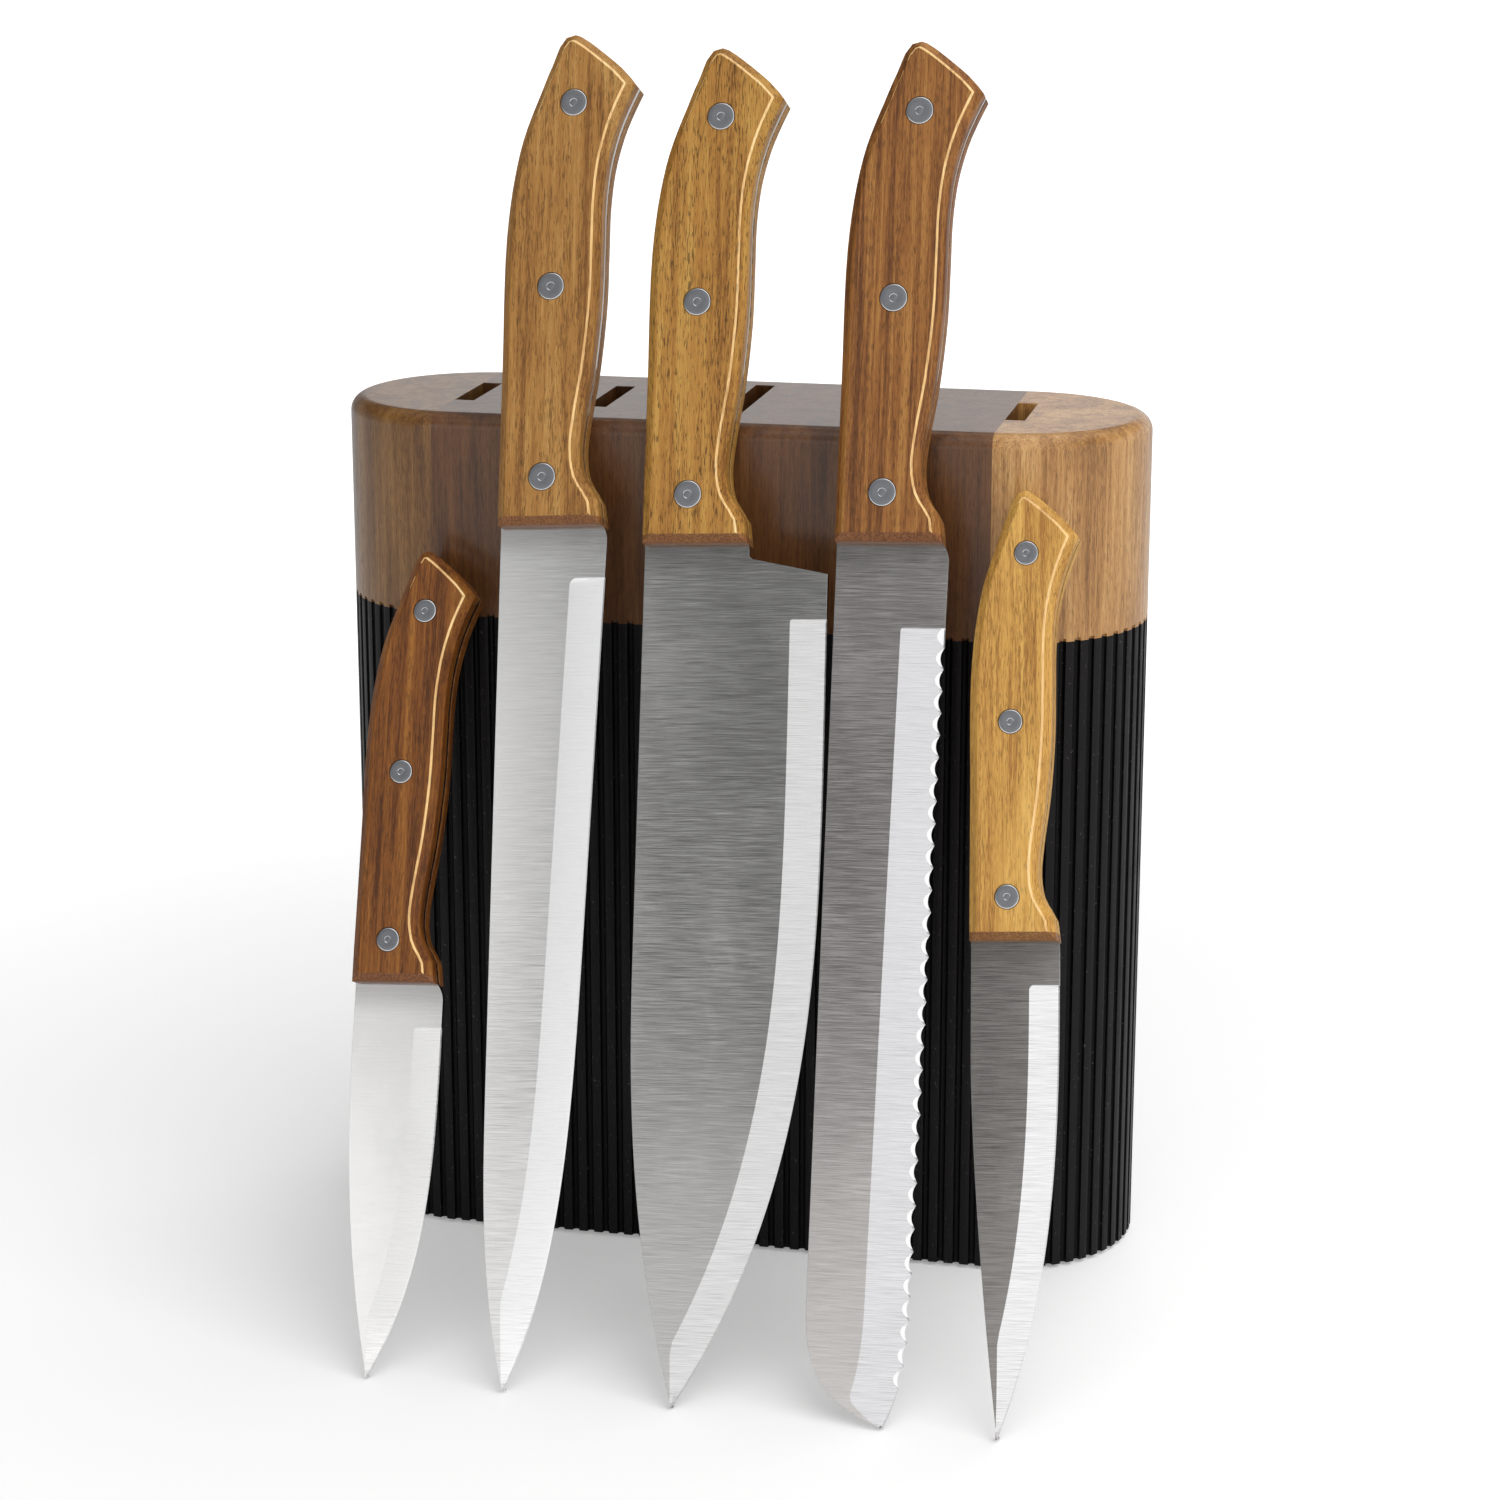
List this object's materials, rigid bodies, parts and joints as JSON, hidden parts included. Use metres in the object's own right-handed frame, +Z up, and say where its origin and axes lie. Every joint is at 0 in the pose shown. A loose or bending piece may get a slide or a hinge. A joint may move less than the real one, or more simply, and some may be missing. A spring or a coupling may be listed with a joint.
{
  "type": "knife block with knives",
  "caption": "Oval wooden knife block with a fluted black body, an acacia cap with upright slots, and riveted wooden-handled kitchen knives leaning against its front.",
  "frame": {"origin": "centre of the block's underside, on the surface that the set stands on", "axes": "+X to the right along the block's long sides, +Y towards its back, +Z up; the knives stand in front, on the -Y side"},
  "size_m": [0.205, 0.1594, 0.3062],
  "materials": {
    "pad": "matt",
    "black_lacquer": "satin black lacquer over wood",
    "acacia": "satin clear lacquer",
    "steel": "brushed across the blade",
    "rivet_steel": "ground flush",
    "paring_scale": "satin oiled",
    "slicing_scale": "satin oiled",
    "chef_scale": "satin oiled",
    "bread_scale": "satin oiled",
    "utility_scale": "satin oiled"
  },
  "bodies": {
    "block": {"base_pad": "pad", "body_stave_1": "black_lacquer", "body_stave_2": "black_lacquer", "body_stave_3": "black_lacquer", "body_stave_4": "black_lacquer", "body_stave_5": "black_lacquer", "body_stave_6": "black_lacquer", "cap_stave_1": "acacia", "cap_stave_2": "acacia", "cap_stave_3": "acacia", "cap_stave_4": "acacia", "cap_stave_5": "acacia", "cap_stave_6": "acacia"},
    "paring_knife": {"paring_blade": "steel", "paring_front_scale": "paring_scale", "paring_back_scale": "paring_scale", "paring_rivet_tubes": "rivet_steel", "paring_rivet_pins": "rivet_steel"},
    "slicing_knife": {"slicing_blade": "steel", "slicing_front_scale": "slicing_scale", "slicing_back_scale": "slicing_scale", "slicing_rivet_tubes": "rivet_steel", "slicing_rivet_pins": "rivet_steel"},
    "chef_knife": {"chef_blade": "steel", "chef_front_scale": "chef_scale", "chef_back_scale": "chef_scale", "chef_rivet_tubes": "rivet_steel", "chef_rivet_pins": "rivet_steel"},
    "bread_knife": {"bread_blade": "steel", "bread_front_scale": "bread_scale", "bread_back_scale": "bread_scale", "bread_rivet_tubes": "rivet_steel", "bread_rivet_pins": "rivet_steel"},
    "utility_knife": {"utility_blade": "steel", "utility_front_scale": "utility_scale", "utility_back_scale": "utility_scale", "utility_rivet_tubes": "rivet_steel", "utility_rivet_pins": "rivet_steel"}
  },
  "joints": [
    {"name": "paring_lift", "type": "slide", "parent": "block", "child": "paring_knife", "axis": [0, 0, 1], "range_m": [0, 0.25]},
    {"name": "slicing_lift", "type": "slide", "parent": "block", "child": "slicing_knife", "axis": [0, 0, 1], "range_m": [0, 0.25]},
    {"name": "chef_lift", "type": "slide", "parent": "block", "child": "chef_knife", "axis": [0, 0, 1], "range_m": [0, 0.25]},
    {"name": "bread_lift", "type": "slide", "parent": "block", "child": "bread_knife", "axis": [0, 0, 1], "range_m": [0, 0.25]},
    {"name": "utility_lift", "type": "slide", "parent": "block", "child": "utility_knife", "axis": [0, 0, 1], "range_m": [0, 0.25]}
  ]
}
